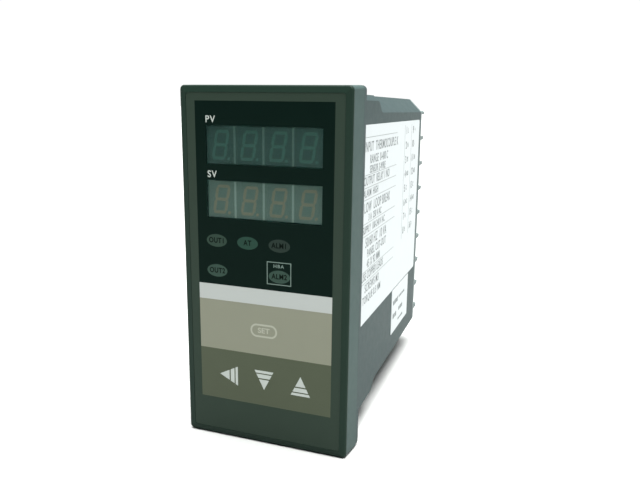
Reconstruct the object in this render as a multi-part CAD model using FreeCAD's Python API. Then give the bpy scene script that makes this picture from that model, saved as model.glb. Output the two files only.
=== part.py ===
import FreeCAD, Part
import math
import os

# PID temperature controller for flush panel mounting, 1/8 DIN upright.
# Units are millimetres. X is to the right as seen from the front, Y runs from the front face to the
# terminals, Z is up. While a piece is built, y = 0 is the front face of the bezel and z = 0 its bottom
# edge. export() then moves everything so that the origin is the bottom centre of the whole object.

V = FreeCAD.Vector

# ---- driving dimensions -------------------------------------------------------------------------
FRONT_WIDTH = 48.0
FRONT_HEIGHT = 96.0
FRAME_DEPTH = 7.0            # front frame, in front of the case's flange
FLANGE_THICKNESS = 2.0       # lip of the case that bears on the panel
FRONT_CORNER_RADIUS = 1.2
FRONT_EDGE_CHAMFER = 0.6
SIDE_TAPER = 0.75            # how far the frame's sides come in from the flange to its face
END_TAPER = 0.25             # and its top and bottom
RIM_WIDTH = 1.8              # round the film
RIM_FALL = 0.45              # how far the rim would fall back from the film to the flange's outline
FACE_THICKNESS = 2.2
FRAME_WALL = 2.2

SIDE_STEP = 1.8              # from the edges of the front in to the case
TOP_STEP = 2.0
BOTTOM_STEP = 2.2
CASE_LENGTH = 83.3           # behind the panel seat, with the terminal cover
CASE_DRAFT = 0.5             # how much each side leans in over the length
CASE_WALL = 1.8
TOP_BEVEL = 4.6              # leg of the 45 degree bevel along the upper corners
BOTTOM_BEVEL = 7.2
TOP_CORNER = 1.5             # the smaller bevel of the collar behind the flange
BOTTOM_CORNER = 4.6
COLLAR_LENGTH = 18.5
RUNOUT_LENGTH = 6.0          # where the collar sweeps into the long bevel
GUIDE_HEIGHT = 3.4
GUIDE_THICKNESS = 1.0
BRACKET_SLOT_WIDTH = 14.0
BRACKET_SLOT_LENGTH = 5.0

FILM_THICKNESS = 0.25
FILM_RECESS = 0.35
FILM_CORNER_RADIUS = 0.8

DIGIT_COUNT = 4
DIGIT_PITCH = 8.0
DIGIT_HEIGHT = 9.8
DIGIT_CHAMFER = 0.2
SV_HEIGHT = 66.9             # centre height of the lower display
DISPLAY_SPACING = 4.2        # between the two displays

LAMP_WIDTH = 6.4             # a lens fills its whole light well
LAMP_HEIGHT = 3.8
LAMP_PITCH = 8.95
LAMP_FIRST_X = -13.4
LAMP_UPPER_ROW = 55.9
LAMP_LOWER_ROW = 47.75
LENS_DEPTH = 2.8
LED_WIDTH = 3.2
LED_HEIGHT = 2.4

SET_KEY_HEIGHT = 32.4
ARROW_KEY_HEIGHT = 18.4
ARROW_KEY_PITCH = 10.55
PLUNGER_RADIUS = 1.75
COLLAR_SIDE = 4.5            # square foot that keeps the plunger in its switch
COLLAR_THICKNESS = 0.8
SWITCH_SIDE = 6.0
SWITCH_DEPTH = 3.4
SWITCH_CHAMFER = 0.5
SWITCH_LID = 0.8
KEY_TRAVEL = 0.25

BOARD_THICKNESS = 1.6
DISPLAY_BOARD_STEP = 0.5     # display board behind the front frame
MAIN_BOARD_X = 13.0          # middle plane of each main board, left and right
DISPLAY_BOARD_WIDTH = 38.6
ARM_THICKNESS = 1.3
ARM_REACH = 9.0              # behind the panel seat
GROOVE_HEIGHT = 2.6
GROOVE_THICKNESS = 0.8
BOSS_RADIUS = 1.9
BOSS_X = 16.2
LOWER_BOSS_STEP = 4.0        # above the board's lower edge
SPACER_RADIUS = 2.5
SPACER_STEP_Y = 14.0         # in from the board's rear and its long edges
SPACER_STEP_Z = 9.0
BRACKET_SLOT_STEP = 2.0      # behind the ends of the frame's arms

TERMINAL_COUNT = 8           # in each of the two columns
TERMINAL_PITCH = 9.36
TERMINAL_FIRST_RIB = 13.9    # height of the lowest rib's middle
TERMINAL_SCREW_X = 17.2
RIB_HEIGHT = 4.8
RIB_THICKNESS = 1.3
RIB_INNER_X = 10.2
WALL_HEIGHT = 3.8            # low wall that the ribs spring from
WALL_THICKNESS = 1.2
BLOCK_THICKNESS = 6.5
COVER_THICKNESS = 2.0        # part of the block that closes the case's end
PLATE_X = 15.6
PLATE_WIDTH = 9.6
PLATE_THICKNESS = 0.8
LEAF_THICKNESS = 0.4
LEAF_HEIGHT = 3.0
LEAF_GRIP = 5.0              # how much of the board's edge a fork holds

THREAD_SIDES = 12            # a thread and its hole are many-sided bars, which keeps their facets few
TERMINAL_SCREW = {"head": 2.75, "height": 2.0, "thread": 1.45, "length": 5.5}
BOARD_SCREW = {"head": 1.8, "height": 1.2, "thread": 1.0, "length": 5.0}
SPACER_SCREW = {"head": 2.3, "height": 1.6, "thread": 1.25, "length": 6.0}

SIDE_LABEL = {"front": 3.0, "rear": 4.6, "bottom": 31.7, "top": 86.25, "corner": 1.0}
SERIAL_LABEL = {"front": 44.0, "rear": 14.3, "bottom": 16.0, "top": 31.3, "corner": 0.3}
LABEL_THICKNESS = 0.15
CUT_OVERRUN = 1.0            # how far a cutting shape reaches past what it cuts
FLAT = 1e-6                  # for picking the edges that lie in the front plane

# ---- clearances ---------------------------------------------------------------------------------
SEAT_GAP = 0.05              # front frame to flange, and block to case: they seat
SLIDE_GAP = 0.4              # chassis to the inside of the case
FIT_GAP = 0.05               # plunger in its switch, board in its contact fork, thread in its hole
FRONT_GAP = 0.3              # film to what stands behind it
HOLE_GAP = 0.25              # frame openings round digits and plungers
LENS_GAP = 0.05              # lens to its light well
DIGIT_GAP = 0.1              # between two neighbouring digits
GUIDE_GAP = 0.35             # board to each guide rib of the case
SLOT_GAP = 0.1               # contact fork to its slot in the block
PLATE_GAP = 0.5              # terminal plate to the ribs above and below it
BOARD_GAP = 0.3              # display board to the main boards
WINDING_GAP = 0.3            # winding to the core's limbs
GUIDE_END_GAP = 1.0          # guide ribs to the terminal block
BOARD_END_GAP = 1.5          # main boards to the terminal block
GROOVE_END_GAP = 0.5         # board grooves to the display board and to the arms' ends

# ---- worked out from them -----------------------------------------------------------------------
FACE_WIDTH = FRONT_WIDTH - 2 * SIDE_TAPER
FACE_HEIGHT = FRONT_HEIGHT - 2 * END_TAPER
SEAT_Y = FRAME_DEPTH + FLANGE_THICKNESS
REAR_Y = SEAT_Y + CASE_LENGTH
TOTAL_DEPTH = REAR_Y + RIB_HEIGHT
CASE_END = REAR_Y - COVER_THICKNESS
CASE_TOP = FRONT_HEIGHT - TOP_STEP
CASE_BOTTOM = BOTTOM_STEP
CASE_HALF = FRONT_WIDTH / 2 - SIDE_STEP
CASE_MIDDLE = (CASE_TOP + CASE_BOTTOM) / 2
CASE_HALF_HEIGHT = (CASE_TOP - CASE_BOTTOM) / 2
INNER_TOP = CASE_TOP - CASE_WALL - CASE_DRAFT
INNER_BOTTOM = CASE_BOTTOM + CASE_WALL + CASE_DRAFT
FACE_BACK = FILM_RECESS + FACE_THICKNESS
PART_FRONT = FILM_RECESS + FRONT_GAP
PV_HEIGHT = SV_HEIGHT + DIGIT_HEIGHT + DISPLAY_SPACING
DISPLAY_BOARD_FRONT = FRAME_DEPTH + DISPLAY_BOARD_STEP
DISPLAY_BOARD_BACK = DISPLAY_BOARD_FRONT + BOARD_THICKNESS
ARM_END = SEAT_Y + ARM_REACH
ARM_TOP = INNER_TOP - SLIDE_GAP
ARM_BOTTOM = INNER_BOTTOM + SLIDE_GAP
BOARD_TOP = ARM_TOP - ARM_THICKNESS
BOARD_BOTTOM = ARM_BOTTOM + ARM_THICKNESS
BOARD_MIDDLE = (BOARD_TOP + BOARD_BOTTOM) / 2
MAIN_BOARD_FRONT = DISPLAY_BOARD_BACK + BOARD_GAP
BLOCK_FRONT = REAR_Y - BLOCK_THICKNESS
MAIN_BOARD_BACK = BLOCK_FRONT - BOARD_END_GAP
BOARD_INNER_FACE = MAIN_BOARD_X - BOARD_THICKNESS / 2
GUIDE_START = SEAT_Y + COLLAR_LENGTH + RUNOUT_LENGTH
GUIDE_END = BLOCK_FRONT - GUIDE_END_GAP
BRACKET_SLOT_Y = ARM_END + BRACKET_SLOT_STEP
PLATE_HEIGHT = TERMINAL_PITCH - RIB_THICKNESS - 2 * PLATE_GAP
SWITCH_FRONT = DISPLAY_BOARD_FRONT - SWITCH_DEPTH

shapes = {}


# ---- shape helpers ------------------------------------------------------------------------------
def block(x0, x1, y0, y1, z0, z1):
    """A box between two corners."""
    return Part.makeBox(x1 - x0, y1 - y0, z1 - z0, V(x0, y0, z0))


def centred(x, y0, depth, z, width, height):
    """A box centred on x and z that runs back from y0."""
    return block(x - width / 2, x + width / 2, y0, y0 + depth, z - height / 2, z + height / 2)


def rod_y(x, z, radius, y0, y1):
    """A round bar along Y."""
    return Part.makeCylinder(radius, y1 - y0, V(x, y0, z), V(0, 1, 0))


def edges_along(shape, axis):
    """The straight edges of a shape that run along an axis."""
    return [e for e in shape.Edges if abs(e.tangentAt(e.FirstParameter).dot(axis)) > 0.9]


def rounded_plate(width, height, radius, y0, y1, middle):
    """A plate facing the front, with rounded corners."""
    plate = centred(0, y0, y1 - y0, middle, width, height)
    return plate.makeFillet(radius, edges_along(plate, V(0, 1, 0)))


def thread_bar(radius, start, run):
    """A many-sided bar from start along run: a screw's thread, or the hole for one."""
    upward = V(0, 0, 1)
    across = run.cross(upward).normalize()
    turns = [2 * math.pi * n / THREAD_SIDES for n in range(THREAD_SIDES)]
    corners = [start + upward * (radius * math.cos(a)) + across * (radius * math.sin(a)) for a in turns]
    return Part.Face(Part.makePolygon(corners + corners[:1])).extrude(run)


def pan_screw(size):
    """A pan head screw along Y: its head stands behind y = 0 and its thread reaches forward."""
    head = rod_y(0, 0, size["head"], 0, size["height"])
    thread = thread_bar(size["thread"], V(0, -size["length"], 0), V(0, size["length"], 0))
    return head.fuse(thread)


def placed(shape, x, y, z):
    """The shape moved to a point."""
    shape.translate(V(x, y, z))
    return shape


def joined(pieces):
    """One solid from several that touch or overlap."""
    return pieces[0].multiFuse(pieces[1:]).removeSplitter()


def group(pieces):
    """Separate solids kept together in one node."""
    return Part.makeCompound(pieces)


# ---- case ---------------------------------------------------------------------------------------
def lean(y):
    """How far the case's sides have leaned in at depth y."""
    return CASE_DRAFT * (y - SEAT_Y) / CASE_LENGTH


def case_rectangle(y, inset):
    """The case's outline at depth y before its corners are bevelled."""
    half_width = CASE_HALF - lean(y) - inset
    half_height = CASE_HALF_HEIGHT - lean(y) - inset
    corners = [
        V(x * half_width, y, CASE_MIDDLE + z * half_height) for x, z in ((-1, -1), (1, -1), (1, 1), (-1, 1))
    ]
    return Part.makePolygon(corners + corners[:1])


def s_bend(start, end):
    """Two equal arcs that step from one line along Y to another."""
    step = end - start
    sideways = V(step.x, 0, step.z)
    turn = math.atan2(sideways.Length, step.y)
    radius = step.Length / (4 * math.sin(turn))
    knee = V(0, radius * math.sin(turn), 0) + sideways.normalize() * (radius * (1 - math.cos(turn)))
    middle = (start + end) * 0.5
    return [Part.Arc(start, start + knee, middle).toShape(), Part.Arc(middle, end - knee, end).toShape()]


def corner_cutter(side, level, small, large, inset, y0, y1):
    """What the bevels take off one long corner: a profile along the corner, extruded across it."""
    outward = V(side, 0, level) * (1 / math.sqrt(2))
    across = V(side, 0, -level) * (1 / math.sqrt(2))
    reach = large + inset + CASE_WALL

    def spot(y, leg):
        distance = (CASE_HALF + CASE_HALF_HEIGHT - 2 * lean(y) - leg) / math.sqrt(2) - inset
        centre = V(0, y, CASE_MIDDLE) + outward * distance
        shift = (CASE_HALF - CASE_HALF_HEIGHT) / math.sqrt(2)
        return centre + across * shift

    sweep_start = SEAT_Y + COLLAR_LENGTH
    sweep_end = sweep_start + RUNOUT_LENGTH
    first = spot(y0, small)
    start = spot(sweep_start, small)
    end = spot(sweep_end, large)
    last = spot(y1, large)
    far = outward * reach
    edges = [
        Part.makeLine(first, start),
        *s_bend(start, end),
        Part.makeLine(end, last),
        Part.makeLine(last, last + far),
        Part.makeLine(last + far, first + far),
        Part.makeLine(first + far, first),
    ]
    profile = Part.Face(Part.Wire(edges))
    profile.translate(across * -reach)
    return profile.extrude(across * (2 * reach))


def case_form(inset, y0, y1):
    """The case's outer form, moved in by inset, between two depths."""
    form = Part.makeLoft([case_rectangle(y0, inset), case_rectangle(y1, inset)], True, True)
    for side in (-1, 1):
        for level, small, large in ((1, TOP_CORNER, TOP_BEVEL), (-1, BOTTOM_CORNER, BOTTOM_BEVEL)):
            cutter = corner_cutter(side, level, small, large, inset, y0 - CUT_OVERRUN, y1 + CUT_OVERRUN)
            form = form.cut(cutter)
    return form


def rear_form(inset, y0, y1):
    """The case's outline behind the run-outs, moved in by inset, between two depths."""
    whole = case_form(inset, GUIDE_START + CUT_OVERRUN, TOTAL_DEPTH + CUT_OVERRUN)
    return whole.common(block(-FRONT_WIDTH, FRONT_WIDTH, y0, y1, 0, FRONT_HEIGHT))


def guide_ribs(y0, y1, gap, thickness):
    """Two ribs each side of each main board, as tall as the case."""
    ribs = []
    for side in (-1, 1):
        for hand in (-1, 1):
            x = side * MAIN_BOARD_X + hand * (BOARD_THICKNESS / 2 + gap + thickness / 2)
            ribs.append(centred(x, y0, y1 - y0, CASE_MIDDLE, thickness, CASE_TOP - CASE_BOTTOM - CASE_WALL))
    return ribs


def make_case():
    """Moulded sleeve, its flange, the guide ribs for the boards and the slots for the fixing brackets."""
    flange = rounded_plate(
        FRONT_WIDTH, FRONT_HEIGHT, FRONT_CORNER_RADIUS, FRAME_DEPTH + SEAT_GAP, SEAT_Y, FRONT_HEIGHT / 2
    )
    sleeve = case_form(0, SEAT_Y - FLANGE_THICKNESS / 2, CASE_END)
    hollow = case_form(CASE_WALL, FRAME_DEPTH - CUT_OVERRUN, REAR_Y)
    ribs = joined(guide_ribs(GUIDE_START, GUIDE_END, GUIDE_GAP, GUIDE_THICKNESS))
    middle_band = block(
        -CASE_HALF, CASE_HALF, 0, REAR_Y, INNER_BOTTOM + GUIDE_HEIGHT, INNER_TOP - GUIDE_HEIGHT
    )
    ribs = ribs.cut(middle_band).common(case_form(CASE_WALL / 2, SEAT_Y, CASE_END))
    slot = centred(
        0, BRACKET_SLOT_Y, BRACKET_SLOT_LENGTH, FRONT_HEIGHT / 2, BRACKET_SLOT_WIDTH, FRONT_HEIGHT * 2
    )
    return flange.fuse(sleeve).cut(hollow).fuse(ribs).cut(slot).removeSplitter()


def side_sheet(size):
    """A label that lies on the right-hand side of the case."""
    y0 = SEAT_Y + size["front"]
    length = REAR_Y - size["rear"] - y0
    sheet = block(0, LABEL_THICKNESS, 0, length, size["bottom"], size["top"])
    sheet = sheet.makeFillet(size["corner"], edges_along(sheet, V(1, 0, 0)))
    sheet.rotate(V(0, 0, 0), V(0, 0, 1), math.degrees(math.atan2(CASE_DRAFT, CASE_LENGTH)))
    return placed(sheet, CASE_HALF - lean(y0), y0, 0)


# ---- rear terminals -----------------------------------------------------------------------------
def terminal_heights():
    """Centre heights of the terminals, lowest first."""
    return [TERMINAL_FIRST_RIB + TERMINAL_PITCH * (n + 0.5) for n in range(TERMINAL_COUNT)]


def make_terminal_block():
    """Block that plugs the case's end and covers its rim, with a rib between each two terminals."""
    plug = rear_form(CASE_WALL + SEAT_GAP, BLOCK_FRONT, REAR_Y)
    cover = rear_form(0, CASE_END + SEAT_GAP, REAR_Y)
    root = REAR_Y - COVER_THICKNESS / 2
    ribs = []
    for n in range(TERMINAL_COUNT + 1):
        z = TERMINAL_FIRST_RIB + TERMINAL_PITCH * n
        for side in (-1, 1):
            x = side * (RIB_INNER_X + CASE_HALF) / 2
            depth = TOTAL_DEPTH - root
            ribs.append(centred(x, root, depth, z, CASE_HALF - RIB_INNER_X, RIB_THICKNESS))
    ribs = joined(ribs).common(rear_form(0, root, TOTAL_DEPTH))
    span = TERMINAL_PITCH * TERMINAL_COUNT
    walls = [
        centred(
            side * RIB_INNER_X, REAR_Y, WALL_HEIGHT, TERMINAL_FIRST_RIB + span / 2,
            WALL_THICKNESS, span + RIB_THICKNESS,
        )
        for side in (-1, 1)
    ]
    body = joined([plug, cover, ribs] + walls)
    slot_width = BOARD_THICKNESS + 2 * (FIT_GAP + LEAF_THICKNESS + SLOT_GAP)
    slot_height = LEAF_HEIGHT + 2 * SLOT_GAP
    slot_depth = BLOCK_THICKNESS + 2 * CUT_OVERRUN
    pocket_side = 2 * (TERMINAL_SCREW["thread"] + HOLE_GAP)
    pocket_front = BLOCK_FRONT + CUT_OVERRUN
    cuts = []
    for z in terminal_heights():
        for side in (-1, 1):
            slot_x = side * MAIN_BOARD_X
            pocket_x = side * TERMINAL_SCREW_X
            cuts.append(centred(slot_x, BLOCK_FRONT - CUT_OVERRUN, slot_depth, z, slot_width, slot_height))
            cuts.append(centred(pocket_x, pocket_front, BLOCK_THICKNESS, z, pocket_side, pocket_side))
    return body.cut(Part.makeCompound(cuts))


def terminal_plate(side, z):
    """Stamped plate under one screw, whose two leaves reach forward as a fork round the board's edge."""
    leaf_front = MAIN_BOARD_BACK - LEAF_GRIP
    plate_back = REAR_Y + PLATE_THICKNESS
    pieces = [centred(side * PLATE_X, REAR_Y, PLATE_THICKNESS, z, PLATE_WIDTH, PLATE_HEIGHT)]
    for hand in (-1, 1):
        x = side * MAIN_BOARD_X + hand * (BOARD_THICKNESS / 2 + FIT_GAP + LEAF_THICKNESS / 2)
        pieces.append(centred(x, leaf_front, plate_back - leaf_front, z, LEAF_THICKNESS, LEAF_HEIGHT))
    hole_start = V(side * TERMINAL_SCREW_X, REAR_Y - CUT_OVERRUN, z)
    hole_run = V(0, PLATE_THICKNESS + 2 * CUT_OVERRUN, 0)
    hole = thread_bar(TERMINAL_SCREW["thread"] + FIT_GAP, hole_start, hole_run)
    return joined(pieces).cut(hole)


def terminal_screw(side, z):
    """Binding screw whose head bears on the terminal plate."""
    return placed(pan_screw(TERMINAL_SCREW), side * TERMINAL_SCREW_X, REAR_Y + PLATE_THICKNESS, z)


# ---- front --------------------------------------------------------------------------------------
def key_positions():
    """Name, x and height of each of the four keys."""
    return [
        ("set", 0.0, SET_KEY_HEIGHT),
        ("shift", -ARROW_KEY_PITCH, ARROW_KEY_HEIGHT),
        ("down", 0.0, ARROW_KEY_HEIGHT),
        ("up", ARROW_KEY_PITCH, ARROW_KEY_HEIGHT),
    ]


def lamp_positions():
    """Centres of the five lamps: three above, two below."""
    upper = [(LAMP_FIRST_X + LAMP_PITCH * n, LAMP_UPPER_ROW) for n in range(3)]
    lower = [(LAMP_FIRST_X + LAMP_PITCH * n, LAMP_LOWER_ROW) for n in (0, 2)]
    return upper + lower


def boss_positions():
    """Where the display board is screwed to the front frame."""
    heights = (BOARD_BOTTOM + LOWER_BOSS_STEP, (PV_HEIGHT + SV_HEIGHT) / 2)
    return [(side * BOSS_X, z) for side in (-1, 1) for z in heights]


def front_openings():
    """What is cut through the front face: two display windows, five light wells and four key holes."""
    depth = FACE_BACK + CUT_OVERRUN
    window_width = DIGIT_PITCH * DIGIT_COUNT + 2 * HOLE_GAP
    key_side = 2 * (PLUNGER_RADIUS + HOLE_GAP)
    cuts = [
        centred(0, 0, depth, z, window_width, DIGIT_HEIGHT + 2 * HOLE_GAP) for z in (PV_HEIGHT, SV_HEIGHT)
    ]
    for x, z in lamp_positions():
        cuts.append(centred(x, 0, depth, z, LAMP_WIDTH + 2 * LENS_GAP, LAMP_HEIGHT + 2 * LENS_GAP))
    for _, x, z in key_positions():
        cuts.append(centred(x, 0, depth, z, key_side, key_side))
    return cuts


def shared_form(plan, profile):
    """What two outlines share: one seen from above, in x and y, and one seen from the side, in z and y."""
    above = [V(x, y, 0) for x, y in plan]
    beside = [V(-FRONT_WIDTH / 2, y, z) for z, y in profile]
    column = Part.Face(Part.makePolygon(above + above[:1])).extrude(V(0, 0, FRONT_HEIGHT))
    bar = Part.Face(Part.makePolygon(beside + beside[:1])).extrude(V(FRONT_WIDTH, 0, 0))
    return column.common(bar)


def frame_form():
    """The front frame's outer form: its sides taper to the face, and its rim falls outward from the film."""
    half = FRONT_WIDTH / 2
    face_half = FACE_WIDTH / 2
    inner_half = face_half - RIM_WIDTH
    inner_end = END_TAPER + RIM_WIDTH
    form = shared_form(
        [(-half, FRAME_DEPTH), (-face_half, 0), (face_half, 0), (half, FRAME_DEPTH)],
        [(0, FRAME_DEPTH), (END_TAPER, 0), (FRONT_HEIGHT - END_TAPER, 0), (FRONT_HEIGHT, FRAME_DEPTH)],
    )
    form = form.makeFillet(FRONT_CORNER_RADIUS, edges_along(form, V(0, 1, 0)))
    form = form.makeChamfer(FRONT_EDGE_CHAMFER, [e for e in form.Edges if e.BoundBox.YMax < FLAT])
    crown = shared_form(
        [
            (-half, FRAME_DEPTH), (-half, RIM_FALL), (-inner_half, 0),
            (inner_half, 0), (half, RIM_FALL), (half, FRAME_DEPTH),
        ],
        [
            (0, FRAME_DEPTH), (0, RIM_FALL), (inner_end, 0),
            (FRONT_HEIGHT - inner_end, 0), (FRONT_HEIGHT, RIM_FALL), (FRONT_HEIGHT, FRAME_DEPTH),
        ],
    )
    return form.common(crown)


def make_front_frame():
    """Moulded front: rim, face with its openings, bosses, and two arms that carry the main boards."""
    film_space = film_plate(FIT_GAP, -CUT_OVERRUN)
    inner_width = FRONT_WIDTH - 2 * FRAME_WALL
    inner_height = FRONT_HEIGHT - 2 * FRAME_WALL
    hollow = centred(0, FACE_BACK, FRAME_DEPTH, FRONT_HEIGHT / 2, inner_width, inner_height)
    body = frame_form().cut(film_space).cut(hollow)
    root = FACE_BACK - FACE_THICKNESS / 4
    added = [rod_y(x, z, BOSS_RADIUS, root, DISPLAY_BOARD_FRONT) for x, z in boss_positions()]
    for z in (ARM_BOTTOM + ARM_THICKNESS / 2, ARM_TOP - ARM_THICKNESS / 2):
        added.append(centred(0, root, ARM_END - root, z, 2 * BOSS_X, ARM_THICKNESS))
    groove_start = DISPLAY_BOARD_BACK + GROOVE_END_GAP
    grooves = joined(guide_ribs(groove_start, ARM_END - GROOVE_END_GAP, FIT_GAP, GROOVE_THICKNESS))
    between = block(
        -CASE_HALF, CASE_HALF, 0, REAR_Y, BOARD_BOTTOM + GROOVE_HEIGHT, BOARD_TOP - GROOVE_HEIGHT
    )
    reach = block(
        -CASE_HALF, CASE_HALF, 0, REAR_Y, ARM_BOTTOM + ARM_THICKNESS / 2, ARM_TOP - ARM_THICKNESS / 2
    )
    added.append(grooves.cut(between).common(reach))
    bore_radius = BOARD_SCREW["thread"] + FIT_GAP
    bore_run = V(0, DISPLAY_BOARD_FRONT + CUT_OVERRUN - FACE_BACK, 0)
    bores = [thread_bar(bore_radius, V(x, FACE_BACK, z), bore_run) for x, z in boss_positions()]
    return body.multiFuse(added).cut(Part.makeCompound(front_openings() + bores)).removeSplitter()


def film_plate(gap, y0):
    """The film's outline, larger by gap all round, from y0 back to the face it lies on."""
    return rounded_plate(
        FACE_WIDTH - 2 * RIM_WIDTH + 2 * gap,
        FACE_HEIGHT - 2 * RIM_WIDTH + 2 * gap,
        FILM_CORNER_RADIUS + gap,
        y0,
        FILM_RECESS,
        FRONT_HEIGHT / 2,
    )


def make_digit(index, z):
    """One digit module, from just behind the film back to the display board."""
    x = (index - (DIGIT_COUNT - 1) / 2) * DIGIT_PITCH
    depth = DISPLAY_BOARD_FRONT - PART_FRONT
    body = centred(x, PART_FRONT, depth, z, DIGIT_PITCH - DIGIT_GAP, DIGIT_HEIGHT)
    front = [e for e in body.Edges if e.BoundBox.YMax < PART_FRONT + FLAT]
    return body.makeChamfer(DIGIT_CHAMFER, front)


def make_lens(x, z):
    """Diffusing lens that fills a light well behind the film."""
    return centred(x, PART_FRONT, LENS_DEPTH, z, LAMP_WIDTH, LAMP_HEIGHT)


def make_led(x, z):
    """Lamp that stands on the display board and touches the back of its lens."""
    start = PART_FRONT + LENS_DEPTH
    return centred(x, start, DISPLAY_BOARD_FRONT - start, z, LED_WIDTH, LED_HEIGHT)


def make_plunger(x, z):
    """Switch plunger: a round stem with a square foot that stays inside the switch."""
    foot_front = SWITCH_FRONT + SWITCH_LID
    stem = rod_y(x, z, PLUNGER_RADIUS, PART_FRONT, foot_front)
    return stem.fuse(centred(x, foot_front, COLLAR_THICKNESS, z, COLLAR_SIDE, COLLAR_SIDE))


def make_switch(x, z):
    """Switch body with a mouth for the plunger's stem and a well for its foot."""
    body = centred(x, SWITCH_FRONT, SWITCH_DEPTH, z, SWITCH_SIDE, SWITCH_SIDE)
    body = body.makeChamfer(SWITCH_CHAMFER, edges_along(body, V(0, 1, 0)))
    mouth_side = 2 * (PLUNGER_RADIUS + FIT_GAP)
    mouth = centred(x, SWITCH_FRONT - CUT_OVERRUN, 2 * CUT_OVERRUN, z, mouth_side, mouth_side)
    well_side = COLLAR_SIDE + 2 * FIT_GAP
    well_front = SWITCH_FRONT + SWITCH_LID - FIT_GAP
    well_depth = COLLAR_THICKNESS + KEY_TRAVEL + FRONT_GAP + FIT_GAP
    return body.cut(mouth).cut(centred(x, well_front, well_depth, z, well_side, well_side))


def make_display_board():
    """Board that carries digits, lamps and switches, with its four screw holes."""
    height = BOARD_TOP - BOARD_BOTTOM - 2 * SLIDE_GAP
    board = centred(0, DISPLAY_BOARD_FRONT, BOARD_THICKNESS, BOARD_MIDDLE, DISPLAY_BOARD_WIDTH, height)
    radius = BOARD_SCREW["thread"] + SLOT_GAP
    start = DISPLAY_BOARD_FRONT - CUT_OVERRUN
    run = V(0, BOARD_THICKNESS + 2 * CUT_OVERRUN, 0)
    holes = [thread_bar(radius, V(x, start, z), run) for x, z in boss_positions()]
    return board.cut(Part.makeCompound(holes))


# ---- main boards and what stands on them --------------------------------------------------------
def spacer_positions():
    """Depth and height of the two pillars between the main boards."""
    y = MAIN_BOARD_BACK - SPACER_STEP_Y
    return [(y, BOARD_TOP - SPACER_STEP_Z), (y, BOARD_BOTTOM + SPACER_STEP_Z)]


def make_main_board(side):
    """Upright board that slides in the case's guides; its rear edge enters the contact forks."""
    x = side * MAIN_BOARD_X
    depth = MAIN_BOARD_BACK - MAIN_BOARD_FRONT
    board = centred(x, MAIN_BOARD_FRONT, depth, BOARD_MIDDLE, BOARD_THICKNESS, BOARD_TOP - BOARD_BOTTOM)
    radius = SPACER_SCREW["thread"] + SLOT_GAP
    holes = [
        thread_bar(radius, V(x - BOARD_THICKNESS, y, z), V(2 * BOARD_THICKNESS, 0, 0))
        for y, z in spacer_positions()
    ]
    return board.cut(Part.makeCompound(holes))


def make_spacer(y, z):
    """Pillar that holds the two main boards apart, tapped from both ends."""
    pillar = Part.makeCylinder(SPACER_RADIUS, 2 * BOARD_INNER_FACE, V(-BOARD_INNER_FACE, y, z), V(1, 0, 0))
    bore_start = V(-BOARD_INNER_FACE - CUT_OVERRUN, y, z)
    bore_run = V(2 * (BOARD_INNER_FACE + CUT_OVERRUN), 0, 0)
    return pillar.cut(thread_bar(SPACER_SCREW["thread"] + FIT_GAP, bore_start, bore_run))


def spacer_screw(side, y, z):
    """Screw through a main board into the end of a spacer."""
    screw = pan_screw(SPACER_SCREW)
    screw.rotate(V(0, 0, 0), V(0, 0, 1), -90 * side)
    return placed(screw, side * (MAIN_BOARD_X + BOARD_THICKNESS / 2), y, z)


def on_board(side, y, z, length, tall, stand):
    """A box on the inner face of one main board: its middle in depth and height, and its three sizes."""
    face = side * BOARD_INNER_FACE
    far = face - side * stand
    return block(min(face, far), max(face, far), y - length / 2, y + length / 2, z - tall / 2, z + tall / 2)


def can_on_board(side, y, z, radius, stand):
    """A round can that stands on the inner face of one main board."""
    return Part.makeCylinder(radius, stand, V(side * BOARD_INNER_FACE, y, z), V(-side, 0, 0))


def make_link_header(side, width=2.5, tall=30.0):
    """Header in the corner between the display board and one main board."""
    return on_board(side, DISPLAY_BOARD_BACK + width / 2, BOARD_MIDDLE, width, tall, width)


def make_transformer(y=45.0, z=42.0, length=24.0, tall=22.0, stand=19.0, limb=4.0, lift=3.0):
    """E core with its wound bobbin, standing on the power board. The core hangs clear of the board."""
    face = -BOARD_INNER_FACE
    top = face + stand
    core_top = top - lift

    def slab(x0, x1, half_length, half_tall):
        return block(x0, x1, y - half_length, y + half_length, z - half_tall, z + half_tall)

    whole = slab(face + lift, core_top, length / 2, tall / 2)
    window = slab(face, top, length / 2 - limb, tall / 2 - limb)
    middle_limb = slab(face + lift, core_top, limb, tall / 2)
    core = whole.cut(window).fuse(middle_limb).removeSplitter()
    border = limb + WINDING_GAP
    bobbin = slab(face, top, length / 2 - border, tall / 2 - border)
    bobbin = bobbin.makeChamfer(limb / 3, edges_along(bobbin, V(1, 0, 0)))
    passage = slab(face + lift - FIT_GAP, core_top + FIT_GAP, limb + FIT_GAP, tall)
    return core, bobbin.cut(passage)


def make_relay(z, y=68.5, length=15.0, tall=20.0, stand=10.5, chamfer=0.5):
    """Sealed power relay on the control board."""
    body = on_board(1, y, z, length, tall, stand)
    return body.makeChamfer(chamfer, edges_along(body, V(1, 0, 0)))


def make_varistor(y=51.8, z=20.0, radius=4.5, thickness=3.6, stand=6.0, leg_step=2.5, leg=0.7):
    """Disc varistor on the power board, held off it by its two legs."""
    face = -BOARD_INNER_FACE
    disc = rod_y(face + stand, z, radius, y - thickness / 2, y + thickness / 2)
    legs = [on_board(-1, y, z + step, leg, leg, stand - radius / 2) for step in (-leg_step, leg_step)]
    return joined([disc] + legs)


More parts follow.
